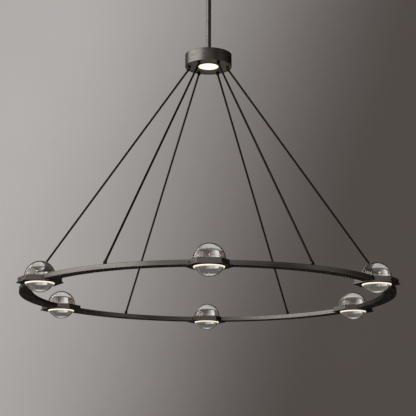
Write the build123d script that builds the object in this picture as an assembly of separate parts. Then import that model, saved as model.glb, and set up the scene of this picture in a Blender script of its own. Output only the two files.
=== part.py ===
from build123d import *
from math import atan2, cos, degrees, hypot, radians, sqrt, tan
import os

# Orb chandelier: a ring of six crystal orbs hung by six rods from a round hub on a stem.
# Millimetres. Origin at the ceiling, on the axis of the stem; +Z is up, so the fixture lies below zero.

# ---------------------------------------------------------------- driving dimensions

# Ring of orbs
orb_count = 6
orb_circle_radius = 552.0
first_orb_angle = 30.0
orb_diameter = 90.0
orb_centre_above_ring_top = 3.0
bar_width = 38.0
bar_height = 13.0
bar_wall = 2.0
bar_edge_chamfer = 0.7

# Orb holder
holder_wall = 9.2
holder_bore_clearance = 0.6
holder_edge_radius = 0.6
led_groove_depth = 3.4
led_groove_margin = 2.4
led_strip_thickness = 1.4
wire_duct_radius = 3.0
tenon_length = 22.0
tenon_clearance = 0.15
base_plate_thickness = 3.0
base_plate_overhang = 3.6
base_plate_edge_radius = 0.5
seat_clearance = 0.1
seat_wall = 1.1
seat_drop = 4.0
seat_taper = 2.0
seat_rebate = 1.6
seat_flange_height = 2.4
seat_flange_clearance = 0.3
plate_screw_angles = (30.0, 150.0, 210.0, 330.0)

# Suspension rods and their clevises
rod_diameter = 6.3
rod_eye_radius = 3.4
rod_eye_thickness = 3.0
rod_neck_length = 6.5
rod_wire_radius = 1.0
rod_wire_exit = 15.0
rod_pin_radius = 1.25
rod_pin_head_radius = 2.0
rod_pin_head_height = 0.8
clevis_pin_height = 8.0
clevis_ear_radius = 3.9
clevis_ear_thickness = 2.0
clevis_ear_gap = 3.2
clevis_base_radius = 5.0
clevis_base_thickness = 1.5
clevis_stud_radius = 2.5
rod_foot_outset = 4.0
rod_head_inset = 13.0

# Hub
hub_diameter = 148.0
hub_height = 40.5
hub_wall = 2.0
hub_top_thickness = 2.5
hub_edge_radius = 1.2
base_recess = 2.0
hub_base_thickness = 4.0
hub_base_clearance = 0.2
hub_above_orbs = 725.0
collar_radius = 14.0
collar_height = 8.0
bridge_thickness = 3.0
bridge_width = 26.0
bridge_foot_length = 9.0
bridge_wall_gap = 3.0
bridge_angle = 90.0
stem_nut_height = 5.0
stem_nut_across_flats = 22.0

# Downlight
downlight_radius = 33.0
trim_width = 3.5
trim_thickness = 1.2
trim_spigot_wall = 1.0
diffuser_lip = 1.0
diffuser_thickness = 2.0
reflector_height = 7.6
reflector_wall = 1.2
reflector_top_radius = 20.0
reflector_flange_width = 8.0
reflector_flange_thickness = 1.5
led_board_radius = 30.0
led_board_thickness = 1.6
led_chip_size = 3.0
led_chip_height = 0.8
led_chip_count = 10
led_chip_circle_radius = 14.0
heat_sink_radius = 34.0
heat_sink_base = 2.0
heat_sink_fin_height = 4.6
heat_sink_fin_thickness = 1.4
heat_sink_fin_count = 18
heat_sink_hub_radius = 9.0
heat_sink_screw_radius = 26.0

# Electrics in the hub
driver_length = 44.0
driver_height = 16.0
driver_corner_radius = 2.0
driver_gap = 3.0
terminal_length = 16.0
terminal_width = 9.0
terminal_height = 10.0
terminal_way_radius = 2.0

# Stem
stem_diameter = 16.0
stem_bore_radius = 6.5
stem_visible_length = 300.0
stem_end_beyond_nut = 1.0

# Swivel
swivel_radius = 11.0
swivel_block_size = 12.0
swivel_side_clearance = 0.3
swivel_end_clearance = 0.5
swivel_pin_radius = 2.0
swivel_pin_spacing = 20.0
swivel_crown_thickness = 13.0
upper_pin_below_canopy = 16.0
swivel_wire_radius = 2.5
spigot_length = 22.0
running_clearance = 0.05
spigot_groove_depth = 0.8
set_screw_drop = 12.0
set_screw_radius = 1.5
set_screw_clearance = 0.3
stem_turn_gap = 0.3

# Ceiling fixing
canopy_radius = 65.0
canopy_depth = 25.0
canopy_wall = 1.2
canopy_corner_radius = 6.0
crossbar_length = 112.0
crossbar_width = 20.0
crossbar_thickness = 2.5
crossbar_drop = 8.0
crossbar_joggle = 8.0
crossbar_centre_half = 28.0
box_screw_spacing = 88.9
box_slot_length = 12.0
box_slot_radius = 2.3
nipple_radius = 5.0
nipple_bore_radius = 3.0
nipple_engagement = 11.0
locknut_height = 3.0
locknut_across_flats = 14.0
canopy_screw_spacing = 44.0
canopy_screw_radius = 2.0
canopy_knob_radius = 4.5
canopy_knob_height = 6.0
canopy_knob_groove_count = 14
canopy_knob_groove_radius = 0.5

# Small fasteners
nut_height = 4.0
nut_across_flats = 8.0
nut_plate_size = 16.0
small_screw_radius = 1.5
small_screw_head_radius = 2.75
small_screw_head_height = 1.7
small_screw_length = 6.0
screw_socket_across_flats = 2.0
screw_socket_depth = 1.1
plate_thread = 3.0
thread_clearance = 0.05
hole_clearance = 0.2

# ---------------------------------------------------------------- derived places

pitch_angle = 360.0 / orb_count
orb_angles = [first_orb_angle + pitch_angle * i for i in range(orb_count)]
rod_angles = [angle - pitch_angle / 2 for angle in orb_angles]
flange_screw_angles = (30.0, 150.0, 270.0)
orb_radius = orb_diameter / 2

canopy_bottom = -canopy_depth
upper_pin_z = canopy_bottom - upper_pin_below_canopy
lower_pin_z = upper_pin_z - swivel_pin_spacing
block_half = swivel_block_size / 2
crown_gap = block_half + swivel_end_clearance
top_yoke_top = upper_pin_z + crown_gap + swivel_crown_thickness
bottom_yoke_base = lower_pin_z - crown_gap - swivel_crown_thickness

stem_radius = stem_diameter / 2
stem_top = bottom_yoke_base - stem_turn_gap
set_screw_z = stem_top - set_screw_drop

hub_top = stem_top - stem_visible_length
hub_bottom = hub_top - hub_height
hub_radius = hub_diameter / 2
hub_inner_radius = hub_radius - hub_wall
base_bottom = hub_bottom + base_recess
base_top = base_bottom + hub_base_thickness
bridge_top = hub_top - hub_top_thickness - stem_nut_height
bridge_bottom = bridge_top - bridge_thickness
bridge_foot_end = hub_inner_radius - bridge_wall_gap
bridge_outer_half = bridge_foot_end - bridge_foot_length
stem_bottom = bridge_bottom - stem_nut_height - stem_end_beyond_nut

orb_z = hub_bottom - hub_above_orbs
ring_top = orb_z - orb_centre_above_ring_top
ring_bottom = ring_top - bar_height
bar_mid = ring_top - bar_height / 2

holder_bore = orb_radius + holder_bore_clearance
holder_apothem = holder_bore + holder_wall
holder_corner = holder_apothem / cos(radians(30))
groove_radius = holder_bore + led_groove_depth
plate_bottom = ring_bottom - base_plate_thickness
plate_apothem = holder_apothem + base_plate_overhang
seat_radius = orb_radius + seat_clearance
seat_outer = sqrt(seat_radius**2 - (orb_z - plate_bottom) ** 2) + seat_wall
seat_flange_radius = holder_bore - seat_flange_clearance
seat_flange_bottom = ring_bottom - seat_rebate

rod_head_radius = hub_radius - rod_head_inset
rod_foot_radius = orb_circle_radius + rod_foot_outset
rod_head_z = base_bottom - clevis_pin_height
rod_foot_z = ring_top + clevis_pin_height

diffuser_radius = downlight_radius + diffuser_lip
reflector_bottom = base_bottom + diffuser_thickness
reflector_top = reflector_bottom + reflector_height
board_top = reflector_top + led_board_thickness
trim_spigot_radius = diffuser_radius + trim_spigot_wall
downlight_hole = trim_spigot_radius + hole_clearance
reflector_flange_radius = downlight_hole + reflector_flange_width


# ---------------------------------------------------------------- helpers

def disc(radius, low, high):
    """Upright cylinder between two heights."""
    return Pos(0, 0, (low + high) / 2) * Cylinder(radius, high - low)


def tube(outer, inner, low, high):
    """Upright ring between two heights."""
    return disc(outer, low, high) - disc(inner, low, high)


def block(x_size, y_size, low, high):
    """Upright box, centred on the axis, between two heights."""
    return Pos(0, 0, (low + high) / 2) * Box(x_size, y_size, high - low)


def hexagon(apothem, low, high):
    """Hexagonal prism between two heights, with two corners on the Y axis."""
    outline = Rot(0, 0, 30) * RegularPolygon(apothem / cos(radians(30)), 6)
    return Pos(0, 0, low) * extrude(outline, high - low)


def hex_nut(across_flats, hole_radius, low, high):
    """Plain hexagon nut."""
    return hexagon(across_flats / 2, low, high) - disc(hole_radius, low, high)


def around(angle, radius, height=0.0):
    """Place on a circle about the stem: local X points outwards, local Y along the circle."""
    return Rot(0, 0, angle) * Pos(radius, 0, height)


def group(solids):
    """Separate solids kept together in one node."""
    return Compound(children=list(solids))


def rounded_end(width, centre_z, direction):
    """Half-round tongue outline in the XZ plane, about a pin, running up (1) or down (-1)."""
    half = width / 2
    reach = direction * (canopy_depth + swivel_pin_spacing + swivel_crown_thickness)
    outline = Pos(0, centre_z) * Circle(half)
    outline += Pos(0, centre_z + reach / 2) * Rectangle(width, abs(reach))
    return outline


def slab_along_y(outline, depth):
    """Extrude an outline drawn in X and Z through the Y direction, centred."""
    return extrude(Plane.XZ * outline, depth / 2, both=True)


def countersunk_screw(length):
    """Screw pointing up from z = 0, its flat head flush with z = 0."""
    head = Cone(small_screw_head_radius, small_screw_radius, small_screw_head_height)
    screw = Pos(0, 0, small_screw_head_height / 2) * head + disc(small_screw_radius, 0, length)
    return screw - hexagon(screw_socket_across_flats / 2, 0, screw_socket_depth)


def countersunk_hole(length):
    """Cutting tool for that screw."""
    flare = small_screw_head_radius + thread_clearance
    throat = small_screw_radius + thread_clearance
    head = Cone(flare, throat, small_screw_head_height)
    return Pos(0, 0, small_screw_head_height / 2) * head + disc(throat, 0, length)


def pan_screw(grip):
    """Screw pointing down: head on z = 0, shank below it."""
    screw = disc(small_screw_head_radius, 0, small_screw_head_height) + disc(small_screw_radius, -grip, 0)
    socket_floor = small_screw_head_height - screw_socket_depth
    return screw - hexagon(screw_socket_across_flats / 2, socket_floor, small_screw_head_height)


# ---------------------------------------------------------------- ceiling fixing

def ceiling_crossbar():
    """Steel strip whose ends lie on the ceiling and whose middle is joggled down."""
    slope = atan2(crossbar_drop, crossbar_joggle)
    shift = crossbar_thickness * tan(slope / 2)
    end = crossbar_length / 2
    knee = crossbar_centre_half + crossbar_joggle
    low = -crossbar_drop
    right = [
        (crossbar_centre_half, low),
        (knee, 0),
        (end, 0),
        (end, -crossbar_thickness),
        (knee + shift, -crossbar_thickness),
        (crossbar_centre_half + shift, low - crossbar_thickness),
    ]
    left = [(-x, z) for x, z in reversed(right)]
    strip = slab_along_y(make_face(Polyline(*right, *left, close=True)), crossbar_width)
    slot = extrude(SlotOverall(box_slot_length, 2 * box_slot_radius), crossbar_drop, both=True)
    for side in (-1, 1):
        strip -= Pos(side * box_screw_spacing / 2, 0, 0) * slot
        screw_hole = disc(canopy_screw_radius + thread_clearance, -canopy_depth, 0)
        strip -= Pos(side * canopy_screw_spacing / 2, 0, 0) * screw_hole
    return strip - disc(nipple_radius + hole_clearance, -canopy_depth, 0)


def hanger_nipple():
    """Hollow threaded nipple from the crossbar down into the swivel."""
    top = -crossbar_drop + locknut_height + 1
    return tube(nipple_radius, nipple_bore_radius, top_yoke_top - nipple_engagement, top)


def nipple_locknuts():
    """One locknut above the crossbar and one below it."""
    hole = nipple_radius + thread_clearance
    strip_bottom = -crossbar_drop - crossbar_thickness
    above = hex_nut(locknut_across_flats, hole, -crossbar_drop, -crossbar_drop + locknut_height)
    below = hex_nut(locknut_across_flats, hole, strip_bottom - locknut_height, strip_bottom)
    return group([above, below])


def canopy_cover():
    """Spun cup that hides the ceiling box."""
    shell = disc(canopy_radius, canopy_bottom, 0)
    shell = fillet(shell.edges().group_by(Axis.Z)[0], canopy_corner_radius)
    hollow = disc(canopy_radius - canopy_wall, canopy_bottom + canopy_wall, 0)
    hollow = fillet(hollow.edges().group_by(Axis.Z)[0], canopy_corner_radius - canopy_wall)
    shell -= hollow
    shell -= disc(swivel_radius + running_clearance + hole_clearance, canopy_bottom, 0)
    for side in (-1, 1):
        hole = disc(canopy_screw_radius + hole_clearance, canopy_bottom, 0)
        shell -= Pos(side * canopy_screw_spacing / 2, 0, 0) * hole
    return shell


def canopy_screws():
    """Two screws with grooved knobs that hold the canopy to the crossbar."""
    knob_bottom = canopy_bottom - canopy_knob_height
    knob = disc(canopy_knob_radius, knob_bottom, canopy_bottom)
    knob = fillet(knob.edges().group_by(Axis.Z)[0], canopy_knob_groove_radius)
    groove = disc(canopy_knob_groove_radius, knob_bottom, canopy_bottom)
    for i in range(canopy_knob_groove_count):
        knob -= around(360 * i / canopy_knob_groove_count, canopy_knob_radius) * groove
    screw = knob + disc(canopy_screw_radius, canopy_bottom, -crossbar_drop + 1)
    return group(Pos(side * canopy_screw_spacing / 2, 0, 0) * screw for side in (-1, 1))


# ---------------------------------------------------------------- hang-straight swivel

def fork(pin_z, direction):
    """Round yoke with two ears about a pin along Y; direction 1 has its crown above the pin."""
    crown_end = pin_z + direction * (crown_gap + swivel_crown_thickness)
    ear_end = pin_z - direction * block_half
    body = disc(swivel_radius, min(crown_end, ear_end), max(crown_end, ear_end))
    crown_face = pin_z + direction * crown_gap
    tongue = slab_along_y(rounded_end(swivel_block_size, pin_z, direction), 2 * swivel_radius)
    crown = disc(swivel_radius, min(crown_end, crown_face), max(crown_end, crown_face))
    gap_width = swivel_block_size + 2 * swivel_side_clearance
    gap = block(2 * swivel_radius, gap_width, min(crown_face, ear_end), max(crown_face, ear_end))
    pin_hole = Rot(90, 0, 0) * Cylinder(swivel_pin_radius + running_clearance, 3 * swivel_radius)
    return (body & (tongue + crown)) - gap - Pos(0, 0, pin_z) * pin_hole


def swivel_top_yoke():
    """Fixed yoke on the hanger nipple; its pin lies along X."""
    yoke = Rot(0, 0, 90) * fork(upper_pin_z, 1)
    socket = disc(nipple_radius + thread_clearance, top_yoke_top - nipple_engagement, top_yoke_top)
    wire_way = disc(swivel_wire_radius, upper_pin_z, top_yoke_top)
    return yoke - socket - wire_way


def swivel_block():
    """Link between the two crossed pins, rounded about each."""
    upper = slab_along_y(rounded_end(swivel_block_size, upper_pin_z, -1), swivel_block_size)
    lower = slab_along_y(rounded_end(swivel_block_size, lower_pin_z, 1), swivel_block_size)
    link = Rot(0, 0, 90) * upper & lower
    bore = Cylinder(swivel_pin_radius, 2 * swivel_block_size)
    link -= Pos(0, 0, upper_pin_z) * Rot(0, 90, 0) * bore
    link -= Pos(0, 0, lower_pin_z) * Rot(90, 0, 0) * bore
    return link - disc(swivel_wire_radius, lower_pin_z - block_half, upper_pin_z + block_half)


def swivel_pins():
    """Four pivot pins, fast in the block's sides and running in the ears; wires pass between them."""
    inner = swivel_wire_radius + hole_clearance
    outer = swivel_radius - hole_clearance
    pin = Pos((inner + outer) / 2, 0, 0) * Rot(0, 90, 0) * Cylinder(swivel_pin_radius, outer - inner)
    upper = [Pos(0, 0, upper_pin_z) * Rot(0, 0, turn) * pin for turn in (0, 180)]
    lower = [Pos(0, 0, lower_pin_z) * Rot(0, 0, turn) * pin for turn in (90, 270)]
    return group(upper + lower)


def swivel_bottom_yoke():
    """Lower yoke with a grooved spigot on which the stem turns."""
    spigot_radius = stem_bore_radius - running_clearance
    groove_half = set_screw_radius + set_screw_clearance
    yoke = fork(lower_pin_z, -1)
    yoke += disc(spigot_radius, bottom_yoke_base - spigot_length, bottom_yoke_base)
    groove = tube(
        spigot_radius + 1,
        spigot_radius - spigot_groove_depth,
        set_screw_z - groove_half,
        set_screw_z + groove_half,
    )
    return yoke - groove - disc(swivel_wire_radius, bottom_yoke_base - spigot_length, lower_pin_z)


# ---------------------------------------------------------------- stem and hub

def radial_screw_hole(height):
    """Hole for a set screw that points at the axis along X."""
    hole = Cylinder(set_screw_radius + thread_clearance, collar_radius)
    return Pos(collar_radius / 2 + 1, 0, height) * Rot(0, 90, 0) * hole


def stem():
    """Straight tube from the swivel down through the hub."""
    body = tube(stem_radius, stem_bore_radius, stem_bottom, stem_top)
    return body - radial_screw_hole(set_screw_z)


def set_screws():
    """Screw in the swivel's groove, and the screw that locks the collar on the stem."""
    groove_floor = stem_bore_radius - running_clearance - spigot_groove_depth
    inner = groove_floor + set_screw_clearance
    swivel_screw = Cylinder(set_screw_radius, stem_radius - inner)
    swivel_screw = Pos((stem_radius + inner) / 2, 0, set_screw_z) * Rot(0, 90, 0) * swivel_screw
    collar_screw = Cylinder(set_screw_radius, collar_radius - stem_radius)
    middle = (collar_radius + stem_radius) / 2
    collar_screw = Pos(middle, 0, hub_top + collar_height / 2) * Rot(0, 90, 0) * collar_screw
    return group([swivel_screw, collar_screw - disc(stem_radius, hub_top, hub_top + collar_height)])


def hub_collar():
    """Collar on the stem that presses the housing down on the bridge."""
    ring = tube(collar_radius, stem_radius + thread_clearance, hub_top, hub_top + collar_height)
    return ring - radial_screw_hole(hub_top + collar_height / 2)


def hub_housing():
    """Round drum, closed on top and open below."""
    shell = disc(hub_radius, hub_bottom, hub_top)
    shell = fillet(shell.edges().group_by(Axis.Z)[-1], hub_edge_radius)
    shell -= disc(hub_inner_radius, hub_bottom, hub_top - hub_top_thickness)
    shell = chamfer(shell.edges().group_by(Axis.Z)[0], hub_wall / 4)
    return shell - disc(stem_radius + hole_clearance, hub_bottom, hub_top)


def hub_bridge():
    """Bent bracket that carries the base plate from the stem."""
    inner_half = bridge_outer_half - bridge_thickness
    bracket = block(2 * bridge_outer_half, bridge_width, base_top, bridge_top)
    bracket -= block(2 * inner_half, bridge_width, base_top, bridge_bottom)
    bracket += block(2 * bridge_foot_end, bridge_width, base_top, base_top + bridge_thickness)
    bracket -= block(2 * inner_half, bridge_width, base_top, base_top + bridge_thickness)
    bracket = Rot(0, 0, bridge_angle) * bracket
    for place in bridge_screw_places():
        bracket -= place * screw_way(bridge_thickness, hole_clearance)
    return bracket - disc(stem_radius + hole_clearance, bridge_bottom, bridge_top)


def stem_nuts():
    """Nuts above and below the bridge."""
    hole = stem_radius + thread_clearance
    above = hex_nut(stem_nut_across_flats, hole, bridge_top, bridge_top + stem_nut_height)
    below = hex_nut(stem_nut_across_flats, hole, bridge_bottom - stem_nut_height, bridge_bottom)
    return group([above, below])


def bridge_screw_places():
    """On the bridge's two feet."""
    foot_middle = bridge_foot_end - bridge_foot_length / 2
    angles = (bridge_angle, bridge_angle + 180)
    return [around(angle, foot_middle, base_top + bridge_thickness) for angle in angles]


def flange_screw_places():
    """Round the reflector's flange."""
    flange_middle = downlight_hole + reflector_flange_width / 2
    flange_top = base_top + reflector_flange_thickness
    return [around(angle, flange_middle, flange_top) for angle in flange_screw_angles]


def sink_screw_places():
    """On the heat sink's base, each between two fins."""
    half_fin_pitch = 180 / heat_sink_fin_count
    sink_top = board_top + heat_sink_base
    return [around(angle + half_fin_pitch, heat_sink_screw_radius, sink_top) for angle in (0, 120, 240)]


def hub_screws():
    """Screws of the bridge, of the reflector's flange and of the heat sink."""
    screws = [place * pan_screw(bridge_thickness + plate_thread) for place in bridge_screw_places()]
    flange_grip = reflector_flange_thickness + plate_thread
    screws += [place * pan_screw(flange_grip) for place in flange_screw_places()]
    sink_grip = heat_sink_base + led_board_thickness + plate_thread
    screws += [place * pan_screw(sink_grip) for place in sink_screw_places()]
    return group(screws)


def screw_way(depth, clearance):
    """Cutting tool for a pan-head screw's shank."""
    return disc(small_screw_radius + clearance, -depth, 0)


def hub_base_plate():
    """Round plate that closes the hub and carries the rods."""
    plate = disc(hub_inner_radius - hub_base_clearance, base_bottom, base_top)
    plate -= disc(downlight_hole, base_bottom, base_top)
    for angle in rod_angles:
        hole = disc(clevis_stud_radius + thread_clearance, base_bottom, base_top)
        plate -= around(angle, rod_head_radius) * hole
    for place in bridge_screw_places():
        plate -= place * screw_way(bridge_thickness + plate_thread, thread_clearance)
    for place in flange_screw_places():
        plate -= place * screw_way(reflector_flange_thickness + plate_thread, thread_clearance)
    return plate


def led_drivers():
    """Two potted drivers, each filling the space between the reflector's flange and the wall."""
    inner = reflector_flange_radius + driver_gap
    outer = sqrt((hub_inner_radius - driver_gap) ** 2 - (driver_length / 2) ** 2)
    case = block(outer - inner, driver_length, base_top, base_top + driver_height)
    case = fillet(case.edges().filter_by(Axis.Z), driver_corner_radius)
    middle = (inner + outer) / 2
    return group(around(angle, middle) * case for angle in (orb_angles[0], orb_angles[3]))


def terminal_block():
    """Two-way wire connector on the base plate."""
    body = block(terminal_width, terminal_length, base_top, base_top + terminal_height)
    for side in (-1, 1):
        way = Rot(0, 90, 0) * Cylinder(terminal_way_radius, 2 * terminal_width)
        body -= Pos(0, side * terminal_length / 4, base_top + terminal_height / 2) * way
    radius = hub_inner_radius - driver_gap - terminal_width
    return around(orb_angles[2], radius) * body


# ---------------------------------------------------------------- downlight

def downlight_trim_ring():
    """Thin ring under the diffuser's edge, with a spigot through the base plate."""
    flange_outer = downlight_radius + trim_width
    flange = tube(flange_outer, downlight_radius, base_bottom - trim_thickness, base_bottom)
    spigot = tube(trim_spigot_radius, diffuser_radius + thread_clearance, base_bottom, base_top)
    return flange + spigot


def downlight_diffuser():
    """Opal disc resting on the trim ring's lip."""
    return disc(diffuser_radius, base_bottom, reflector_bottom)


def downlight_reflector():
    """Shallow cone between the diffuser and the LED board, hung from the base plate by its flange."""
    mouth = diffuser_radius
    outer = Cone(mouth, led_board_radius, reflector_height)
    inner = Cone(mouth - reflector_wall, reflector_top_radius, reflector_height)
    middle = (reflector_bottom + reflector_top) / 2
    cone = Pos(0, 0, middle) * (outer - inner)
    flange_top = base_top + reflector_flange_thickness
    flange = tube(reflector_flange_radius, led_board_radius, base_top, flange_top)
    body = cone + flange - Pos(0, 0, middle) * inner
    for place in flange_screw_places():
        body -= place * screw_way(reflector_flange_thickness, hole_clearance)
    for place in sink_screw_places():
        body -= place * screw_way(heat_sink_base + led_board_thickness + plate_thread, thread_clearance)
    return body


def downlight_led_board():
    """Round circuit board with its LEDs facing down."""
    board = disc(led_board_radius, reflector_top, board_top)
    chip = block(led_chip_size, led_chip_size, reflector_top - led_chip_height, reflector_top)
    for i in range(led_chip_count):
        board += around(360 * i / led_chip_count, led_chip_circle_radius) * chip
    for place in sink_screw_places():
        board -= place * screw_way(heat_sink_base + led_board_thickness, hole_clearance)
    return board


def downlight_heat_sink():
    """Finned disc on the back of the LED board."""
    sink = disc(heat_sink_radius, board_top, board_top + heat_sink_base)
    fin_top = board_top + heat_sink_base + heat_sink_fin_height
    sink += disc(heat_sink_hub_radius, board_top, fin_top)
    fin = block(heat_sink_radius, heat_sink_fin_thickness, board_top + heat_sink_base, fin_top)
    for i in range(heat_sink_fin_count):
        sink += around(360 * i / heat_sink_fin_count, heat_sink_radius / 2) * fin
    sink &= disc(heat_sink_radius, board_top, fin_top)
    for place in sink_screw_places():
        sink -= place * screw_way(heat_sink_base, hole_clearance)
    return sink


# ---------------------------------------------------------------- suspension rods

def clevis(stud_length):
    """Fork on a round foot at z = 0, ears up, pin along Y, hollow threaded stud below."""
    ear_outer = clevis_ear_gap / 2 + clevis_ear_thickness
    profile = Pos(0, clevis_pin_height) * Circle(clevis_ear_radius)
    profile += Pos(0, clevis_pin_height / 2) * Rectangle(2 * clevis_ear_radius, clevis_pin_height)
    ears = slab_along_y(profile, 2 * ear_outer)
    ears -= block(3 * clevis_ear_radius, clevis_ear_gap, clevis_base_thickness, 2 * clevis_pin_height)
    pin_hole = Rot(90, 0, 0) * Cylinder(rod_pin_radius, 3 * ear_outer)
    ears -= Pos(0, 0, clevis_pin_height) * pin_hole
    fork_piece = ears + disc(clevis_base_radius, 0, clevis_base_thickness)
    fork_piece += disc(clevis_stud_radius, -stud_length, 0)
    return fork_piece - disc(rod_wire_radius, -stud_length, clevis_base_thickness)


def head_place(angle):
    """Underside of the hub's base plate, looking down."""
    return around(angle, rod_head_radius, base_bottom) * Rot(180, 0, 0)


def foot_place(angle):
    """Top of the ring bar, looking up."""
    return around(angle, rod_foot_radius, ring_top)


def rod_top_clevises():
    """Six forks under the hub, their studs through the base plate."""
    fork_piece = clevis(hub_base_thickness + nut_height)
    return group(head_place(angle) * fork_piece for angle in rod_angles)


def rod_bottom_clevises():
    """Six forks on the ring bars, their studs in the nut plates."""
    fork_piece = clevis(bar_wall + nut_height)
    return group(foot_place(angle) * fork_piece for angle in rod_angles)


def clevis_nuts():
    """Nuts on the upper clevises' studs, inside the hub."""
    nut = hex_nut(nut_across_flats, clevis_stud_radius + thread_clearance, base_top, base_top + nut_height)
    return group(around(angle, rod_head_radius) * nut for angle in rod_angles)


def ring_nut_plates():
    """Tapped plates under the top wall of each bar."""
    top = ring_top - bar_wall
    plate = block(nut_plate_size, nut_plate_size, top - nut_height, top)
    plate -= disc(clevis_stud_radius + thread_clearance, top - nut_height, top)
    return group(around(angle, rod_foot_radius) * plate for angle in rod_angles)


def rod_pins():
    """Riveted pins, one in each clevis."""
    half = clevis_ear_gap / 2 + clevis_ear_thickness
    pin = disc(rod_pin_radius, -half, half)
    pin += disc(rod_pin_head_radius, half, half + rod_pin_head_height)
    pin += disc(rod_pin_head_radius, -half - rod_pin_head_height, -half)
    rims = pin.edges().group_by(Axis.Z)
    pin = fillet(rims[0] + rims[-1], rod_pin_head_height / 2)
    pin = Rot(90, 0, 0) * pin
    pins = []
    for angle in rod_angles:
        pins.append(around(angle, rod_head_radius, rod_head_z) * pin)
        pins.append(around(angle, rod_foot_radius, rod_foot_z) * pin)
    return group(pins)


def suspension_rod(angle):
    """Slim tube with a flat eye at each end and a wire exit beside each eye."""
    run = rod_foot_radius - rod_head_radius
    fall = rod_head_z - rod_foot_z
    length = hypot(run, fall)
    rod = disc(rod_diameter / 2, rod_neck_length, length - rod_neck_length)
    for pin_z, inward in ((0, 1), (length, -1)):
        neck_end = pin_z + inward * (rod_neck_length + rod_eye_radius)
        profile = Pos(0, pin_z) * Circle(rod_eye_radius)
        profile += Pos(0, (pin_z + neck_end) / 2) * Rectangle(2 * rod_eye_radius, abs(neck_end - pin_z))
        rod += slab_along_y(profile, rod_eye_thickness)
        hole = Rot(90, 0, 0) * Cylinder(rod_pin_radius + running_clearance, 2 * rod_eye_thickness)
        rod -= Pos(0, 0, pin_z) * hole
        way_out = Rot(0, 90, 0) * Cylinder(rod_wire_radius, rod_diameter)
        rod -= Pos(-rod_diameter / 2, 0, pin_z + inward * rod_wire_exit) * way_out
    rod -= disc(rod_wire_radius, rod_wire_exit, length - rod_wire_exit)
    lean = degrees(atan2(run, fall))
    return around(angle, rod_foot_radius, rod_foot_z) * Rot(0, -lean, 0) * rod


# ---------------------------------------------------------------- ring of bars and holders

def bar_section(shrink):
    """Bar outline in the XZ plane at the ring's radius, smaller by shrink on every side."""
    outline = Rectangle(bar_width - 2 * shrink, bar_height - 2 * shrink)
    return Pos(orb_circle_radius, bar_mid) * chamfer(outline.vertices(), bar_edge_chamfer)


def ring_arc(outline, start, sweep):
    """Turn an outline about the stem's axis from one angle through another."""
    return Rot(0, 0, start) * revolve(Plane.XZ * outline, Axis.Z, sweep)


def bar_screw_angle():
    """Angle along the ring from a holder to the screw in its tenon."""
    return degrees((holder_corner + tenon_length / 2) / orb_circle_radius)


def ring_bar(angle):
    """Rectangular tube bent to the ring, its ends notched round the two holders' corners."""
    half = pitch_angle / 2
    bar = ring_arc(bar_section(0), angle - half, pitch_angle)
    bar -= ring_arc(bar_section(bar_wall), angle - half - 1, pitch_angle + 2)
    holder_block = hexagon(holder_apothem, ring_bottom - 1, ring_top + 1)
    for side in (-1, 1):
        bar -= around(angle + side * half, orb_circle_radius) * holder_block
        screw_angle = angle + side * (half - bar_screw_angle())
        place = around(screw_angle, orb_circle_radius, ring_top) * Rot(180, 0, 0)
        bar -= place * countersunk_hole(bar_wall + 0.5)
    stud_hole = disc(clevis_stud_radius + thread_clearance, ring_top - bar_wall, ring_top)
    return bar - around(angle, rod_foot_radius) * stud_hole


def bar_screws():
    """Countersunk screws down through the bars into the holders' tenons."""
    screws = []
    for angle in orb_angles:
        for side in (-1, 1):
            place = around(angle + side * bar_screw_angle(), orb_circle_radius, ring_top)
            screws.append(place * Rot(180, 0, 0) * countersunk_screw(small_screw_length))
    return group(screws)


def plate_screw_places():
    """The base plate's screws, in the corners of one holder beside its bore."""
    radius = (groove_radius + holder_corner) / 2 - 1
    return [around(angle, radius, plate_bottom) for angle in plate_screw_angles]


def orb_holder(angle):
    """Hexagonal casting: bore for the orb, groove for its LED ring, and a tenon for each bar."""
    reach = degrees((holder_corner + tenon_length) / orb_circle_radius)
    inset = bar_wall + tenon_clearance
    tenons = ring_arc(bar_section(inset), angle - reach, 2 * reach)
    body = hexagon(holder_apothem, ring_bottom, ring_top)
    body = fillet(body.edges().group_by(Axis.Z)[-1], holder_edge_radius)
    holder = around(angle, orb_circle_radius) * body + tenons
    tool = disc(holder_bore, ring_bottom, ring_top)
    tool += disc(groove_radius, ring_bottom + led_groove_margin, ring_top - led_groove_margin)
    for place in plate_screw_places():
        tool += place * disc(small_screw_radius + thread_clearance, 0, small_screw_length + 1)
    holder -= around(angle, orb_circle_radius) * tool
    duct = Circle(wire_duct_radius)
    holder -= ring_arc(Pos(orb_circle_radius, bar_mid) * duct, angle - reach - 1, 2 * reach + 2)
    for side in (-1, 1):
        place = around(angle + side * bar_screw_angle(), orb_circle_radius, ring_top)
        holder -= place * disc(small_screw_radius + thread_clearance, -small_screw_length - 1, 0)
    return holder


def crystal_orb(angle):
    """Solid ball resting in its holder."""
    return around(angle, orb_circle_radius, orb_z) * Sphere(orb_radius)


def holder_base_plates():
    """Hexagonal plates under the holders, a little larger all round, with a rebate for the seat."""
    plate = hexagon(plate_apothem, plate_bottom, ring_bottom)
    plate = fillet(plate.edges().group_by(Axis.Z)[0], base_plate_edge_radius)
    plate -= disc(seat_outer + hole_clearance, plate_bottom, ring_bottom)
    plate -= disc(seat_flange_radius + hole_clearance, seat_flange_bottom, ring_bottom)
    for place in plate_screw_places():
        plate -= place * countersunk_hole(base_plate_thickness)
    return group(around(angle, orb_circle_radius) * plate for angle in orb_angles)


def plate_screws():
    """Countersunk screws up through the base plates."""
    screws = []
    for angle in orb_angles:
        for place in plate_screw_places():
            screws.append(around(angle, orb_circle_radius) * place * countersunk_screw(small_screw_length))
    return group(screws)


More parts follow.
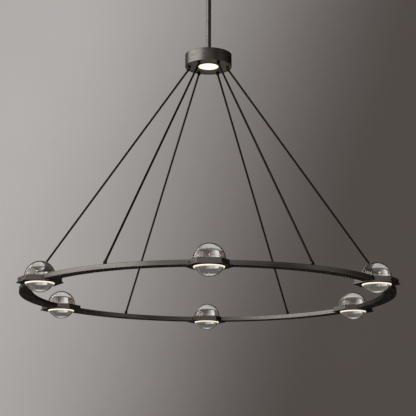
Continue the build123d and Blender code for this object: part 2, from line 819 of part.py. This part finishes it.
def seat_light_guides():
    """Translucent rings that carry the orbs and glow round them below the base plates."""
    flange_top = ring_bottom + seat_flange_height
    taper = Cone(seat_outer - seat_taper, seat_outer, seat_drop)
    lip = Pos(0, 0, plate_bottom - seat_drop / 2) * taper
    lip += disc(seat_outer, plate_bottom, flange_top)
    lip += disc(seat_flange_radius, seat_flange_bottom, flange_top)
    lip -= Pos(0, 0, orb_z) * Sphere(seat_radius)
    return group(around(angle, orb_circle_radius) * lip for angle in orb_angles)


def led_rings():
    """LED strips bent round inside the holders' grooves."""
    low = ring_bottom + led_groove_margin + hole_clearance
    high = ring_top - led_groove_margin - hole_clearance
    outer = groove_radius - hole_clearance
    strip = tube(outer, outer - led_strip_thickness, low, high)
    return group(around(angle, orb_circle_radius) * strip for angle in orb_angles)


# ---------------------------------------------------------------- write every node

nodes = {
    "ceiling_crossbar": ceiling_crossbar(),
    "hanger_nipple": hanger_nipple(),
    "nipple_locknuts": nipple_locknuts(),
    "canopy_cover": canopy_cover(),
    "canopy_screws": canopy_screws(),
    "swivel_top_yoke": swivel_top_yoke(),
    "swivel_block": swivel_block(),
    "swivel_pins": swivel_pins(),
    "swivel_bottom_yoke": swivel_bottom_yoke(),
    "stem": stem(),
    "set_screws": set_screws(),
    "hub_collar": hub_collar(),
    "hub_housing": hub_housing(),
    "hub_bridge": hub_bridge(),
    "stem_nuts": stem_nuts(),
    "hub_base_plate": hub_base_plate(),
    "hub_screws": hub_screws(),
    "led_drivers": led_drivers(),
    "terminal_block": terminal_block(),
    "downlight_trim_ring": downlight_trim_ring(),
    "downlight_diffuser": downlight_diffuser(),
    "downlight_reflector": downlight_reflector(),
    "downlight_led_board": downlight_led_board(),
    "downlight_heat_sink": downlight_heat_sink(),
    "rod_top_clevises": rod_top_clevises(),
    "rod_bottom_clevises": rod_bottom_clevises(),
    "clevis_nuts": clevis_nuts(),
    "ring_nut_plates": ring_nut_plates(),
    "rod_pins": rod_pins(),
    "bar_screws": bar_screws(),
    "holder_base_plates": holder_base_plates(),
    "plate_screws": plate_screws(),
    "seat_light_guides": seat_light_guides(),
    "led_rings": led_rings(),
}
for number, angle in enumerate(rod_angles, start=1):
    nodes[f"suspension_rod_{number}"] = suspension_rod(angle)
    nodes[f"ring_bar_{number}"] = ring_bar(angle)
for number, angle in enumerate(orb_angles, start=1):
    nodes[f"orb_holder_{number}"] = orb_holder(angle)
    nodes[f"crystal_orb_{number}"] = crystal_orb(angle)

os.makedirs("parts", exist_ok=True)
for name, shape in nodes.items():
    export_step(shape, f"parts/{name}.step")
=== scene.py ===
"""Orb chandelier: finishes, crystal orbs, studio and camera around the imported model. Metres, +Z up."""

import math

import bpy
import numpy as np
from mathutils import Matrix, Vector


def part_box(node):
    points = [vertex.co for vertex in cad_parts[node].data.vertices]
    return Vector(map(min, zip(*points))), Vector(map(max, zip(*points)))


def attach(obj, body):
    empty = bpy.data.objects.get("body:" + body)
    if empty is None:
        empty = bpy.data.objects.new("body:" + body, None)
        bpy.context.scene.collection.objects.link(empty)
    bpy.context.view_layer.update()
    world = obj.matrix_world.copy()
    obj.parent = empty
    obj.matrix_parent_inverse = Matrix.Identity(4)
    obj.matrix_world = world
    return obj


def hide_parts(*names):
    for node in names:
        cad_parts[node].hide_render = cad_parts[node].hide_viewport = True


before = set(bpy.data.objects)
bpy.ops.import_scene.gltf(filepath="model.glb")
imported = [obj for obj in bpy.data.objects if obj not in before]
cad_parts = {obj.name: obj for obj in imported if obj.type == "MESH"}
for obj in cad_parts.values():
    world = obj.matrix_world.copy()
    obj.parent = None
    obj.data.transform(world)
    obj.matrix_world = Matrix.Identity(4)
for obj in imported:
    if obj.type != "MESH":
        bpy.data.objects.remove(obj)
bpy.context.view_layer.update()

# ---------------------------------------------------------------- the object's own sizes, from the frame

ORB_COUNT = 6
ORB_NAMES = [f"crystal_orb_{i + 1}" for i in range(ORB_COUNT)]


def box_centre(node):
    low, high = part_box(node)
    return (low + high) / 2


orb_centres = [box_centre(name) for name in ORB_NAMES]
orb_low, orb_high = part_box(ORB_NAMES[0])
orb_radius = (orb_high.z - orb_low.z) / 2
orb_height = orb_centres[0].z
orb_circle_radius = math.hypot(orb_centres[0].x, orb_centres[0].y)
sector_angle = 2 * math.pi / ORB_COUNT
first_orb_angle = math.atan2(orb_centres[0].y, orb_centres[0].x)


# ---------------------------------------------------------------- shader maths

OBJECT_COORDINATES = 3
MIX_COLOUR_INPUTS = (0, 6, 7)
MIX_COLOUR_OUTPUT = 2


class Wire:
    """A shader socket with Python's operators; each one adds a Math node."""

    def __init__(self, graph, socket):
        self.graph = graph
        self.socket = socket

    def _math(self, operation, *values):
        return self.graph.add("ShaderNodeMath", {"operation": operation}, *values)

    def __add__(self, other):
        return self._math("ADD", self, other)

    def __radd__(self, other):
        return self._math("ADD", other, self)

    def __sub__(self, other):
        return self._math("SUBTRACT", self, other)

    def __rsub__(self, other):
        return self._math("SUBTRACT", other, self)

    def __mul__(self, other):
        return self._math("MULTIPLY", self, other)

    def __rmul__(self, other):
        return self._math("MULTIPLY", other, self)

    def __pow__(self, other):
        return self._math("POWER", self, other)

    def mod(self, other):
        return self._math("FLOORED_MODULO", self, other)

    def sin(self):
        return self._math("SINE", self)

    def cos(self):
        return self._math("COSINE", self)

    def step(self, low, high):
        """0 at low, 1 at high, smooth between and level beyond."""
        settings = {"interpolation_type": "SMOOTHSTEP"}
        ends = {"From Min": low, "From Max": high}
        if not isinstance(low, Wire) and low > high:
            ends = {"From Min": high, "From Max": low, "To Min": 1.0, "To Max": 0.0}
        return self.graph.add("ShaderNodeMapRange", settings, Value=self, **ends)


class Graph:
    """The node tree of a new material, or of the world, filled by calls."""

    def __init__(self, owner):
        self.owner = bpy.data.materials.new(owner) if isinstance(owner, str) else owner
        self.owner.use_nodes = True
        self.tree = self.owner.node_tree
        self.tree.nodes.clear()
        kind = "ShaderNodeOutputMaterial" if isinstance(owner, str) else "ShaderNodeOutputWorld"
        self.output = self.tree.nodes.new(kind)

    def add(self, kind, settings=None, *values, out=0, **named):
        """Adds a node: settings first, then its sockets by place or by name; gives one of its outputs."""
        node = self.tree.nodes.new(kind)
        for key, value in (settings or {}).items():
            setattr(node, key, value)
        sockets = [node.inputs[i] for i in range(len(values))] + [node.inputs[key] for key in named]
        for socket, value in zip(sockets, [*values, *named.values()]):
            if isinstance(value, Wire):
                self.tree.links.new(value.socket, socket)
            else:
                socket.default_value = value
        return Wire(self, node.outputs[out])

    def parts(self, vector):
        """The three numbers of a vector."""
        outputs = self.add("ShaderNodeSeparateXYZ", None, vector).socket.node.outputs
        return [Wire(self, outputs[i]) for i in range(3)]

    def place(self):
        """Object coordinates as three numbers."""
        return self.parts(self.add("ShaderNodeTexCoord", out=OBJECT_COORDINATES))

    def vector(self, x, y, z):
        return self.add("ShaderNodeCombineXYZ", None, x, y, z)

    def noise(self, vector, scale, detail=2.0, roughness=0.5):
        """Noise from 0 to 1."""
        values = {"Vector": vector, "Scale": scale, "Detail": detail, "Roughness": roughness}
        return self.add("ShaderNodeTexNoise", {"noise_dimensions": "3D"}, **values)

    def mix(self, factor, first, second):
        """Colour between two colours; the factor is always a wire."""
        node = self.add("ShaderNodeMix", {"data_type": "RGBA"}).socket.node
        inputs = [node.inputs[i] for i in MIX_COLOUR_INPUTS]
        for socket, value in zip(inputs, (factor, first, second)):
            if isinstance(value, Wire):
                self.tree.links.new(value.socket, socket)
            else:
                socket.default_value = (*value, 1.0)
        return Wire(self, node.outputs[MIX_COLOUR_OUTPUT])

    def bump(self, height, strength, distance):
        return self.add("ShaderNodeBump", None, Height=height, Strength=strength, Distance=distance)

    def finish(self, **sockets):
        """Closes the material with one Principled shader."""
        shader = self.tree.nodes.new("ShaderNodeBsdfPrincipled")
        for key, value in sockets.items():
            socket = shader.inputs[key.replace("_", " ")]
            if isinstance(value, Wire):
                self.tree.links.new(value.socket, socket)
            elif isinstance(value, tuple) and len(value) == 3:
                socket.default_value = (*value, 1.0)
            else:
                socket.default_value = value
        self.tree.links.new(shader.outputs[0], self.output.inputs[0])
        return self.owner


def polar(graph, x, y):
    """Angle and radius about the stem's axis."""
    angle = graph.add("ShaderNodeMath", {"operation": "ARCTAN2"}, y, x)
    radius = (x * x + y * y) ** 0.5
    return angle, radius


def holder_place(graph):
    """Place about the nearest orb: outwards, along the ring, and height above the orb's centre."""
    x, y, z = graph.place()
    angle, radius = polar(graph, x, y)
    turned = (angle - first_orb_angle + sector_angle / 2).mod(sector_angle) - sector_angle / 2
    outwards = radius * turned.cos() - orb_circle_radius
    along = radius * turned.sin()
    return outwards, along, z - orb_height


# ---------------------------------------------------------------- finishes

BRONZE_DARK = (0.085, 0.080, 0.075)
BRONZE_LIGHT = (0.168, 0.159, 0.149)
BLACKENED_DARK = (0.012, 0.011, 0.010)
BLACKENED_LIGHT = (0.030, 0.028, 0.025)
DARK_EDGE = (0.008, 0.007, 0.006)
PLATE_DARK = (0.12, 0.11, 0.095)
PLATE_LIGHT = (0.21, 0.195, 0.17)
PLATE_EDGE = (0.75, 0.72, 0.66)
ALONG_BRUSH = 0.02
FINE_BRUSH = 1800.0
BROAD_BRUSH = 160.0
PATINA_CLOUDS = 14.0
BRUSH_DEPTH = 0.0002


def bronze(name, direction, dark=BRONZE_DARK, light=BRONZE_LIGHT, edge=DARK_EDGE, roughness=0.36):
    """Dark satin bronze with fine brush lines; direction is "round", "up" or "across"."""
    g = Graph(name)
    x, y, z = g.place()
    angle, radius = polar(g, x, y)
    if direction == "round":
        grain = g.vector(angle * ALONG_BRUSH, radius, z)
    elif direction == "up":
        grain = g.vector(x, y, z * (ALONG_BRUSH / 2))
    else:
        grain = g.vector(x * ALONG_BRUSH, y, z)
    fine = g.noise(grain, FINE_BRUSH, 3.0, 0.65)
    broad = g.noise(grain, BROAD_BRUSH, 2.0, 0.5)
    cloud = g.noise(g.vector(x, y, z), PATINA_CLOUDS, 4.0, 0.6)
    streak = fine * 0.55 + broad * 0.45
    tone = (streak * 0.7 + cloud * 0.3).step(0.30, 0.72)
    colour = g.mix(tone, dark, light)
    rough = roughness - 0.08 + streak * 0.12 + cloud * 0.05
    return g.finish(
        Base_Color=colour,
        Metallic=1.0,
        Roughness=rough,
        Specular_Tint=edge,
        Normal=g.bump(streak, 0.12, BRUSH_DEPTH),
    )


def steel():
    """Zinc-plated steel with a faint passivation cloud."""
    g = Graph("zinc_plated_steel")
    x, y, z = g.place()
    cloud = g.noise(g.vector(x, y, z), 60.0, 4.0, 0.6)
    colour = g.mix(cloud.step(0.35, 0.7), (0.42, 0.43, 0.44), (0.62, 0.61, 0.56))
    grain = g.noise(g.vector(x, y * 0.05, z), 900.0, 2.0)
    return g.finish(Base_Color=colour, Metallic=1.0, Roughness=0.28 + grain * 0.15,
                    Normal=g.bump(grain, 0.1, BRUSH_DEPTH))


CRYSTAL_CLEAR = (0.975, 0.98, 0.975)
CRYSTAL_HAZE = (0.90, 0.91, 0.905)
# Painted shade: the near-black colour of the crystal's rim, and the facing values between which it fades in.
CRYSTAL_PAINTED_RIM_SHADE = (0.004, 0.004, 0.003)
PAINTED_RIM_SHADE_STARTS = 0.46
PAINTED_RIM_SHADE_ENDS = 0.70
CRYSTAL_IOR = 1.52


def crystal():
    """Clear polished crystal with the faintest haze, and painted shade: a near-black rim painted into its
    colour where the surface turns away from the view.
    """
    g = Graph("clear_crystal")
    x, y, z = g.place()
    haze = g.noise(g.vector(x, y, z), 55.0, 3.0, 0.6).step(0.55, 0.9)
    facing = g.add("ShaderNodeLayerWeight", None, 0.5, out=1)
    # Painted shade: this mask turns the crystal's colour near-black where the surface turns away from the
    # view.
    rim = facing.step(PAINTED_RIM_SHADE_STARTS, PAINTED_RIM_SHADE_ENDS)
    return g.finish(
        Base_Color=g.mix(rim, g.mix(haze, CRYSTAL_CLEAR, CRYSTAL_HAZE), CRYSTAL_PAINTED_RIM_SHADE),
        Roughness=0.0,
        IOR=CRYSTAL_IOR,
        Transmission_Weight=1.0,
    )


LIP_GLOW = (0.50, 0.47, 0.39)
LIP_EDGE_GLOW = (0.17, 0.12, 0.055)
INNER_GLOW = (0.66, 0.43, 0.19)
LIP_BOTTOM = -0.0235
LIP_BRIGHT = -0.0200
CONTACT_NEAR = 0.0453
CONTACT_FAR = 0.0458
LED_COUNT = 36
UNLIT_BETWEEN_LEDS = 0.6
RING_GLOW = 2.0
DIFFUSER_GLOW = 1.0
DIFFUSER_FADE_FROM = 0.026
DIFFUSER_FADE_TO = 0.035


def glowing_ring():
    """Opal light guide round the orb: warm white by the plate, dimmer down its lip, amber on the crystal."""
    g = Graph("glowing_ring")
    outwards, along, height = holder_place(g)
    turn = g.add("ShaderNodeMath", {"operation": "ARCTAN2"}, along, outwards)
    ripple = (turn * LED_COUNT).cos() * 0.5 + 0.5
    from_centre = (outwards * outwards + along * along + height * height) ** 0.5
    outside = from_centre.step(CONTACT_NEAR, CONTACT_FAR)
    lip = g.mix(height.step(LIP_BOTTOM, LIP_BRIGHT), LIP_EDGE_GLOW, LIP_GLOW)
    inner = g.mix(ripple, tuple(UNLIT_BETWEEN_LEDS * c for c in INNER_GLOW), INNER_GLOW)
    return g.finish(
        Base_Color=(0.50, 0.44, 0.36),
        Roughness=0.35,
        Emission_Color=g.mix(outside, inner, lip),
        Emission_Strength=RING_GLOW,
    )


def led_strip():
    """Yellow phosphor dots on a white strip, lit."""
    g = Graph("led_strip")
    outwards, along, height = holder_place(g)
    turn = g.add("ShaderNodeMath", {"operation": "ARCTAN2"}, along, outwards)
    dot = (turn * LED_COUNT).cos().step(-0.2, 0.4)
    colour = g.mix(dot, (0.55, 0.48, 0.36), (1.0, 0.80, 0.45))
    glow = g.mix(dot, (0.35, 0.26, 0.16), (1.0, 0.86, 0.62))
    return g.finish(Base_Color=colour, Roughness=0.5, Emission_Color=glow, Emission_Strength=RING_GLOW)


def lit_diffuser():
    """Opal disc, brightest in the middle and warmer towards its edge."""
    g = Graph("lit_diffuser")
    x, y, z = g.place()
    radius = (x * x + y * y) ** 0.5
    fade = radius.step(DIFFUSER_FADE_FROM, DIFFUSER_FADE_TO)
    colour = g.mix(fade, (1.0, 0.95, 0.82), (0.60, 0.50, 0.30))
    return g.finish(Base_Color=(0.5, 0.48, 0.42), Roughness=0.4, Emission_Color=colour,
                    Emission_Strength=DIFFUSER_GLOW)


def moulding(name, light, dark, roughness=0.5):
    """Moulded plastic with a fine spark texture."""
    g = Graph(name)
    x, y, z = g.place()
    spark = g.noise(g.vector(x, y, z), 1500.0, 2.0)
    cloud = g.noise(g.vector(x, y, z), 25.0, 3.0)
    colour = g.mix(cloud.step(0.3, 0.7), dark, light)
    return g.finish(Base_Color=colour, Roughness=roughness + spark * 0.1,
                    Normal=g.bump(spark, 0.15, BRUSH_DEPTH))


def extruded_aluminium():
    """Bare aluminium with extrusion lines."""
    g = Graph("extruded_aluminium")
    x, y, z = g.place()
    lines = g.noise(g.vector(x, y, z * 0.02), 700.0, 3.0)
    colour = g.mix(lines.step(0.35, 0.7), (0.62, 0.63, 0.64), (0.80, 0.81, 0.82))
    return g.finish(Base_Color=colour, Metallic=1.0, Roughness=0.3 + lines * 0.15)


def dress(node, material):
    """Gives a carried-over node its material."""
    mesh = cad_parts[node].data
    mesh.materials.clear()
    mesh.materials.append(material)


finishes = {
    "round": bronze("bronze_turned", "round"),
    "along": bronze("bronze_bar", "round", roughness=0.38),
    "up": bronze("bronze_stem", "up", roughness=0.34),
    "blackened": bronze("blackened_rod", "up", BLACKENED_DARK, BLACKENED_LIGHT, roughness=0.42),
    "plate": bronze("bronze_hub_plate", "round", PLATE_DARK, PLATE_LIGHT, PLATE_EDGE, roughness=0.5),
    "across": bronze("bronze_machined", "across"),
    "steel": steel(),
    "crystal": crystal(),
    "glow": glowing_ring(),
    "led": led_strip(),
    "diffuser": lit_diffuser(),
    "white": moulding("white_moulding", (0.86, 0.86, 0.84), (0.78, 0.78, 0.76)),
    "milky": moulding("milky_terminal", (0.78, 0.80, 0.82), (0.66, 0.69, 0.72), roughness=0.3),
    "board": moulding("white_circuit_board", (0.90, 0.90, 0.88), (0.82, 0.83, 0.80), roughness=0.4),
    "aluminium": extruded_aluminium(),
}
node_finish = {
    "ceiling_crossbar": "steel", "hanger_nipple": "steel", "nipple_locknuts": "steel",
    "canopy_cover": "round", "canopy_screws": "up", "swivel_top_yoke": "up", "swivel_block": "up",
    "swivel_pins": "steel", "swivel_bottom_yoke": "up", "stem": "up", "set_screws": "steel",
    "hub_collar": "round", "hub_housing": "round", "hub_bridge": "steel", "stem_nuts": "steel",
    "hub_base_plate": "plate", "hub_screws": "steel", "led_drivers": "white", "terminal_block": "milky",
    "downlight_trim_ring": "round", "downlight_diffuser": "diffuser", "downlight_reflector": "white",
    "downlight_led_board": "board", "downlight_heat_sink": "aluminium", "rod_top_clevises": "blackened",
    "rod_bottom_clevises": "blackened", "clevis_nuts": "steel", "ring_nut_plates": "steel", "rod_pins": "up",
    "bar_screws": "up", "holder_base_plates": "across", "plate_screws": "up", "seat_light_guides": "glow",
    "led_rings": "led",
}
for i in range(ORB_COUNT):
    node_finish[f"suspension_rod_{i + 1}"] = "blackened"
    node_finish[f"ring_bar_{i + 1}"] = "along"
    node_finish[f"orb_holder_{i + 1}"] = "along"
for node, finish in node_finish.items():
    dress(node, finishes[finish])


# ---------------------------------------------------------------- crystal orbs

def ball_mesh(name, centre, radius, rings=96, segments=192):
    """Sphere: height is -radius times the cosine of u, and the circle there has radius times its sine."""
    u = np.linspace(0, math.pi, rings + 1)[1:-1]
    v = np.linspace(0, 2 * math.pi, segments, endpoint=False)
    uu, vv = np.meshgrid(u, v, indexing="ij")
    grid = np.stack((np.sin(uu) * np.cos(vv), np.sin(uu) * np.sin(vv), -np.cos(uu)), axis=-1).reshape(-1, 3)
    points = np.vstack((grid, [[0, 0, -1], [0, 0, 1]])) * radius + np.array(centre)
    row = np.arange(rings - 2)[:, None] * segments
    step = np.arange(segments)
    after = (step + 1) % segments
    quads = np.stack((row + step, row + after, row + segments + after, row + segments + step), axis=-1)
    south = np.full(segments, len(points) - 2)
    north = np.full(segments, len(points) - 1)
    top = (rings - 2) * segments
    caps = np.vstack((
        np.stack((south, after, step), axis=-1),
        np.stack((north, top + step, top + after), axis=-1),
    ))
    mesh = bpy.data.meshes.new(name)
    mesh.from_pydata(points.tolist(), [], quads.reshape(-1, 4).tolist() + caps.tolist())
    mesh.shade_smooth()
    return mesh


def add_piece(name, mesh, material, body, slot, *nodes):
    """A new piece that stands for CAD nodes and rides on their body."""
    piece = bpy.data.objects.new(name, mesh)
    bpy.context.scene.collection.objects.link(piece)
    mesh.materials.append(material)
    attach(piece, body)
    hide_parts(*nodes)
    return piece


for i, (node, centre) in enumerate(zip(ORB_NAMES, orb_centres)):
    mesh = ball_mesh(f"polished_orb_{i + 1}", centre, orb_radius)
    add_piece(f"polished_orb_{i + 1}", mesh, finishes["crystal"], "chandelier", "crystal", node)


# ---------------------------------------------------------------- studio

# Heights and sideways places in the surround are the sines of their angles from the orbs.
WALL_FOOT = (-0.25, -0.30)
FAR_FLOOR_STARTS = (-0.34, -0.38)
WALL_TOP = (0.50, 0.58)
CEILING_STARTS = (0.82, 0.88)
FAR_LEFT_STARTS = (-0.20, -0.32)
DOORWAY_RIGHT = (-0.43, -0.49)
DOORWAY_LEFT = (-0.97, -0.85)
FLOOR_BELOW_ORBS = 1.35
FLOOR_RADIUS = 2.95
FLOOR_LIGHT = (0.84, 0.83, 0.81)
FLOOR_DARK = (0.76, 0.75, 0.735)
WALL_LEFT = (0.445, 0.425, 0.418)
WALL_RIGHT = (0.082, 0.070, 0.065)
WALL_FAR_LEFT = (0.72, 0.70, 0.68)
DOORWAY = (0.078, 0.070, 0.066)
FLOOR_EDGE_BAND = (0.085, 0.080, 0.075)
FAR_FLOOR = (0.50, 0.49, 0.475)
CEILING_BAND = (0.055, 0.050, 0.046)
CEILING_LEFT = (0.85, 0.83, 0.78)
CEILING_RIGHT = (0.40, 0.38, 0.35)


def studio_floor():
    """Pale round floor under the object: one flat face whose corners lie on a circle."""
    turn = np.linspace(0, 2 * math.pi, 96, endpoint=False)
    rim = np.stack((np.cos(turn), np.sin(turn), np.zeros_like(turn)), axis=-1) * FLOOR_RADIUS
    rim[:, 2] = orb_height - FLOOR_BELOW_ORBS
    mesh = bpy.data.meshes.new("studio_floor")
    mesh.from_pydata(rim.tolist(), [], [tuple(range(len(rim)))])
    floor = bpy.data.objects.new("studio_floor", mesh)
    bpy.context.scene.collection.objects.link(floor)
    g = Graph("pale_floor")
    x, y, z = g.place()
    tone = g.noise(g.vector(x, y, z), 2.0, 3.0).step(0.3, 0.7)
    mesh.materials.append(g.finish(Base_Color=g.mix(tone, FLOOR_DARK, FLOOR_LIGHT), Roughness=0.8))


def studio_world():
    """Plain studio, the same for every ray: a plaster-grey wall, light on the left and dark on the right,
    a darker doorway at the left, a dim strip above the floor and another below a lighter ceiling."""
    world = bpy.data.worlds.new("studio")
    bpy.context.scene.world = world
    g = Graph(world)
    x, y, z = g.parts(g.add("ShaderNodeTexCoord", out=0))
    behind_camera = (0.0 - y).step(0.0, 0.5)
    spread = 1.0 + behind_camera * 3.0
    side = ((z - 0.25) * 0.3 - x).step(spread * -0.14, spread * 0.17)
    wall = g.mix(side, WALL_RIGHT, WALL_LEFT)
    wall = g.mix(x.step(*FAR_LEFT_STARTS), wall, WALL_FAR_LEFT)
    doorway = x.step(*DOORWAY_RIGHT) * x.step(*DOORWAY_LEFT) * y.step(0.0, 0.2)
    wall = g.mix(doorway, wall, DOORWAY)
    ceiling = g.mix(side, CEILING_RIGHT, CEILING_LEFT)
    colour = g.mix(z.step(*WALL_FOOT), wall, FLOOR_EDGE_BAND)
    colour = g.mix(z.step(*FAR_FLOOR_STARTS), colour, FAR_FLOOR)
    colour = g.mix(z.step(*WALL_TOP), colour, CEILING_BAND)
    colour = g.mix(z.step(*CEILING_STARTS), colour, ceiling)
    clouds = g.noise(g.vector(x, y, z), 5.0, 4.0, 0.55) * 0.2 + 0.9
    background = g.add("ShaderNodeBackground", None, colour, clouds)
    g.tree.links.new(background.socket, g.output.inputs[0])


def softbox(name, position, aim, width, height, power, colour, seen_through_glass=True):
    """Rectangular soft light that faces a point and is never in the picture itself."""
    light = bpy.data.lights.new(name, "AREA")
    light.shape = "RECTANGLE"
    light.size = width
    light.size_y = height
    light.energy = power
    light.color = colour
    lamp = bpy.data.objects.new(name, light)
    bpy.context.scene.collection.objects.link(lamp)
    direction = Vector(aim) - Vector(position)
    lamp.visible_camera = False
    lamp.visible_transmission = seen_through_glass
    lamp.matrix_world = Matrix.Translation(position) @ direction.to_track_quat("-Z", "Y").to_matrix().to_4x4()


studio_floor()
studio_world()
middle = (0.0, 0.0, orb_height + 0.3)
softbox("key_left", (-3.35, -1.3, orb_height + 1.4), middle, 4.6, 3.0, 112.0, (1.0, 0.985, 0.965))
# The strip light would only glare through the crystal, so it shows in reflections alone.
softbox("strip_left", (-2.5, 0.85, orb_height + 1.1), middle, 0.5, 2.8, 18.0, (1.0, 0.985, 0.975), False)
softbox("fill_front", (0.3, -5.0, orb_height + 0.8), middle, 5.0, 2.0, 18.0, (1.0, 0.975, 0.965))
softbox("rim_right", (3.4, -1.6, orb_height + 0.6), middle, 1.6, 2.0, 6.0, (1.0, 0.97, 0.96))


# ---------------------------------------------------------------- camera

IMAGE_WIDTH = 416.0
FOCAL_PIXELS = 1232.77
SENSOR = 0.036
CAMERA_DISTANCE = 3.7347
CAMERA_BELOW_ORBS = 0.585
CAMERA_HEADING = 0.0058
CAMERA_PITCH = math.radians(12.81)
CAMERA_ROLL = 0.0031


def photo_camera():
    """Camera below the ring, looking up at it: heading from +Y towards +X, pitch up, small roll."""
    sin_h, cos_h = math.sin(CAMERA_HEADING), math.cos(CAMERA_HEADING)
    sin_p, cos_p = math.sin(CAMERA_PITCH), math.cos(CAMERA_PITCH)
    forward = Vector((sin_h * cos_p, cos_h * cos_p, sin_p))
    level_right = Vector((cos_h, -sin_h, 0.0))
    level_up = level_right.cross(forward)
    right = level_right * math.cos(CAMERA_ROLL) + level_up * math.sin(CAMERA_ROLL)
    up = right.cross(forward)
    place = Vector((-sin_h, -cos_h, 0.0)) * CAMERA_DISTANCE
    place.z = orb_height - CAMERA_BELOW_ORBS
    data = bpy.data.cameras.new("photo_camera")
    data.sensor_width = SENSOR * 1000
    data.lens = FOCAL_PIXELS / IMAGE_WIDTH * data.sensor_width
    data.clip_start = 0.05
    data.clip_end = 100.0
    camera = bpy.data.objects.new("photo_camera", data)
    bpy.context.scene.collection.objects.link(camera)
    turn = Matrix((right, up, -forward)).transposed().to_4x4()
    camera.matrix_world = Matrix.Translation(place) @ turn
    bpy.context.scene.camera = camera


photo_camera()
bpy.context.scene.view_settings.view_transform = "Standard"
